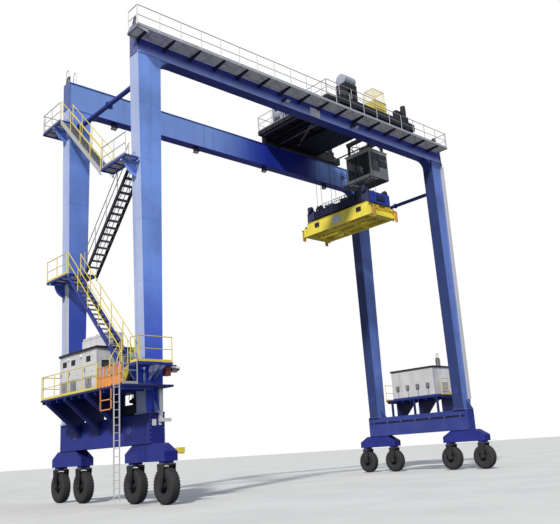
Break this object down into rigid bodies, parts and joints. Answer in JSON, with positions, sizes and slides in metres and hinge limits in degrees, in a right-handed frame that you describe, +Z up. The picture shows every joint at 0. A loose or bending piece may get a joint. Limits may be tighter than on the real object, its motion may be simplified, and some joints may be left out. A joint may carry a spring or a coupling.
{
  "type": "rubber tyred gantry crane",
  "caption": "Container yard gantry crane on steered tyres: a portal frame with a travelling trolley, operator cab, rope hoist and telescopic spreader, with stairs and equipment houses.",
  "frame": {"origin": "on the ground in the middle of the portal, between the four columns", "axes": "+X along the span, towards the power pack; +Y along the travel way; +Z up"},
  "size_m": [27.88, 11.0398, 25.67],
  "materials": {
    "frame_paint": "satin",
    "yellow_paint": "satin",
    "white_paint": "satin",
    "orange_paint": "satin",
    "dark_paint": "satin",
    "galvanised_steel": "satin",
    "rope_steel": "satin",
    "tyre_rubber": "matte"
  },
  "bodies": {
    "portal": {"sill_left": "frame_paint", "sill_right": "frame_paint", "bogie_beams": "frame_paint", "column_near_left": "frame_paint", "column_far_left": "frame_paint", "column_near_right": "frame_paint", "column_far_right": "frame_paint", "side_ties": "frame_paint", "girder_near": "frame_paint", "girder_far": "frame_paint", "trolley_track": "rope_steel", "walkway": "galvanised_steel", "walkway_rails": "galvanised_steel", "equipment_decks": "frame_paint", "deck_rails": "yellow_paint", "gates": "orange_paint", "electrical_house": "white_paint", "roof_cooler": "white_paint", "power_pack": "white_paint", "landings": "frame_paint", "landing_rails": "yellow_paint", "stair_lower": "yellow_paint", "stair_middle": "yellow_paint", "stair_upper": "yellow_paint", "ladders": "galvanised_steel", "floodlights": "dark_paint", "cable_ducts": "galvanised_steel"},
    "steering_1": {"fork_1": "dark_paint"},
    "steering_2": {"fork_2": "dark_paint"},
    "steering_3": {"fork_3": "dark_paint"},
    "steering_4": {"fork_4": "dark_paint"},
    "steering_5": {"fork_5": "dark_paint"},
    "steering_6": {"fork_6": "dark_paint"},
    "steering_7": {"fork_7": "dark_paint"},
    "steering_8": {"fork_8": "dark_paint"},
    "road_wheel_1": {"wheel_1": "tyre_rubber"},
    "road_wheel_2": {"wheel_2": "tyre_rubber"},
    "road_wheel_3": {"wheel_3": "tyre_rubber"},
    "road_wheel_4": {"wheel_4": "tyre_rubber"},
    "road_wheel_5": {"wheel_5": "tyre_rubber"},
    "road_wheel_6": {"wheel_6": "tyre_rubber"},
    "road_wheel_7": {"wheel_7": "tyre_rubber"},
    "road_wheel_8": {"wheel_8": "tyre_rubber"},
    "trolley": {"trolley_frame": "frame_paint", "trolley_rails": "galvanised_steel", "hoist_machinery": "dark_paint", "hoist_housing": "white_paint", "cab": "white_paint", "cab_access": "galvanised_steel", "hoist_ropes": "rope_steel"},
    "rear_wheels": {"wheelset_rear": "rope_steel"},
    "front_wheels": {"wheelset_front": "rope_steel"},
    "lifting_frame": {"headblock": "dark_paint", "spreader_frame": "yellow_paint"},
    "telescope_near": {"end_beam_near": "yellow_paint"},
    "telescope_far": {"end_beam_far": "yellow_paint"},
    "corner_guides_near": {"flippers_near": "yellow_paint"},
    "corner_guides_far": {"flippers_far": "yellow_paint"}
  },
  "joints": [
    {"name": "trolley_travel", "type": "slide", "parent": "portal", "child": "trolley", "axis": [1, 0, 0], "range_m": [-14.5, 2.36]},
    {"name": "hoist_lift", "type": "slide", "parent": "trolley", "child": "lifting_frame", "axis": [0, 0, 1], "range_m": [-15.4, 1.9], "deforming": ["hoist_ropes"]},
    {"name": "telescope_far_slide", "type": "slide", "parent": "lifting_frame", "child": "telescope_far", "axis": [0, 1, 0], "range_m": [0, 3.066]},
    {"name": "telescope_near_slide", "type": "slide", "parent": "lifting_frame", "child": "telescope_near", "axis": [0, -1, 0], "range_m": [0, 3.066]},
    {"name": "corner_guides_far_swing", "type": "hinge", "parent": "telescope_far", "child": "corner_guides_far", "pos_m": [6.33, 3.1615, 16.55], "axis": [1, 0, 0], "range_deg": [0, 175]},
    {"name": "corner_guides_near_swing", "type": "hinge", "parent": "telescope_near", "child": "corner_guides_near", "pos_m": [6.33, -3.1615, 16.55], "axis": [-1, 0, 0], "range_deg": [0, 175]},
    {"name": "rear_wheels_roll", "type": "hinge", "parent": "trolley", "child": "rear_wheels", "pos_m": [3.55, 0, 22.83], "axis": [0, 1, 0], "continuous": true},
    {"name": "front_wheels_roll", "type": "hinge", "parent": "trolley", "child": "front_wheels", "pos_m": [9, 0, 22.83], "axis": [0, 1, 0], "continuous": true},
    {"name": "steer_1", "type": "hinge", "parent": "portal", "child": "steering_1", "pos_m": [-11.735, -4.77, 1.61], "axis": [0, 0, 1], "range_deg": [0, 90]},
    {"name": "steer_2", "type": "hinge", "parent": "portal", "child": "steering_2", "pos_m": [-11.735, -2.37, 1.61], "axis": [0, 0, 1], "range_deg": [0, 90]},
    {"name": "steer_3", "type": "hinge", "parent": "portal", "child": "steering_3", "pos_m": [-11.735, 2.37, 1.61], "axis": [0, 0, 1], "range_deg": [0, 90]},
    {"name": "steer_4", "type": "hinge", "parent": "portal", "child": "steering_4", "pos_m": [-11.735, 4.77, 1.61], "axis": [0, 0, 1], "range_deg": [0, 90]},
    {"name": "steer_5", "type": "hinge", "parent": "portal", "child": "steering_5", "pos_m": [11.735, -4.77, 1.61], "axis": [0, 0, 1], "range_deg": [0, 90]},
    {"name": "steer_6", "type": "hinge", "parent": "portal", "child": "steering_6", "pos_m": [11.735, -2.37, 1.61], "axis": [0, 0, 1], "range_deg": [0, 90]},
    {"name": "steer_7", "type": "hinge", "parent": "portal", "child": "steering_7", "pos_m": [11.735, 2.37, 1.61], "axis": [0, 0, 1], "range_deg": [0, 90]},
    {"name": "steer_8", "type": "hinge", "parent": "portal", "child": "steering_8", "pos_m": [11.735, 4.77, 1.61], "axis": [0, 0, 1], "range_deg": [0, 90]},
    {"name": "roll_1", "type": "hinge", "parent": "steering_1", "child": "road_wheel_1", "pos_m": [-11.735, -4.77, 0.75], "axis": [1, 0, 0], "continuous": true},
    {"name": "roll_2", "type": "hinge", "parent": "steering_2", "child": "road_wheel_2", "pos_m": [-11.735, -2.37, 0.75], "axis": [1, 0, 0], "continuous": true},
    {"name": "roll_3", "type": "hinge", "parent": "steering_3", "child": "road_wheel_3", "pos_m": [-11.735, 2.37, 0.75], "axis": [1, 0, 0], "continuous": true},
    {"name": "roll_4", "type": "hinge", "parent": "steering_4", "child": "road_wheel_4", "pos_m": [-11.735, 4.77, 0.75], "axis": [1, 0, 0], "continuous": true},
    {"name": "roll_5", "type": "hinge", "parent": "steering_5", "child": "road_wheel_5", "pos_m": [11.735, -4.77, 0.75], "axis": [1, 0, 0], "continuous": true},
    {"name": "roll_6", "type": "hinge", "parent": "steering_6", "child": "road_wheel_6", "pos_m": [11.735, -2.37, 0.75], "axis": [1, 0, 0], "continuous": true},
    {"name": "roll_7", "type": "hinge", "parent": "steering_7", "child": "road_wheel_7", "pos_m": [11.735, 2.37, 0.75], "axis": [1, 0, 0], "continuous": true},
    {"name": "roll_8", "type": "hinge", "parent": "steering_8", "child": "road_wheel_8", "pos_m": [11.735, 4.77, 0.75], "axis": [1, 0, 0], "continuous": true}
  ],
  "couplings": [
    {"joint": "telescope_near_slide", "follows": "telescope_far_slide", "ratio": 1},
    {"joint": "corner_guides_near_swing", "follows": "corner_guides_far_swing", "ratio": 1},
    {"joint": "rear_wheels_roll", "follows": "trolley_travel", "rad_per_m": 3.3333},
    {"joint": "front_wheels_roll", "follows": "trolley_travel", "rad_per_m": 3.3333},
    {"joint": "steer_2", "follows": "steer_1", "ratio": 1},
    {"joint": "steer_3", "follows": "steer_1", "ratio": 1},
    {"joint": "steer_4", "follows": "steer_1", "ratio": 1},
    {"joint": "steer_5", "follows": "steer_1", "ratio": 1},
    {"joint": "steer_6", "follows": "steer_1", "ratio": 1},
    {"joint": "steer_7", "follows": "steer_1", "ratio": 1},
    {"joint": "steer_8", "follows": "steer_1", "ratio": 1}
  ]
}
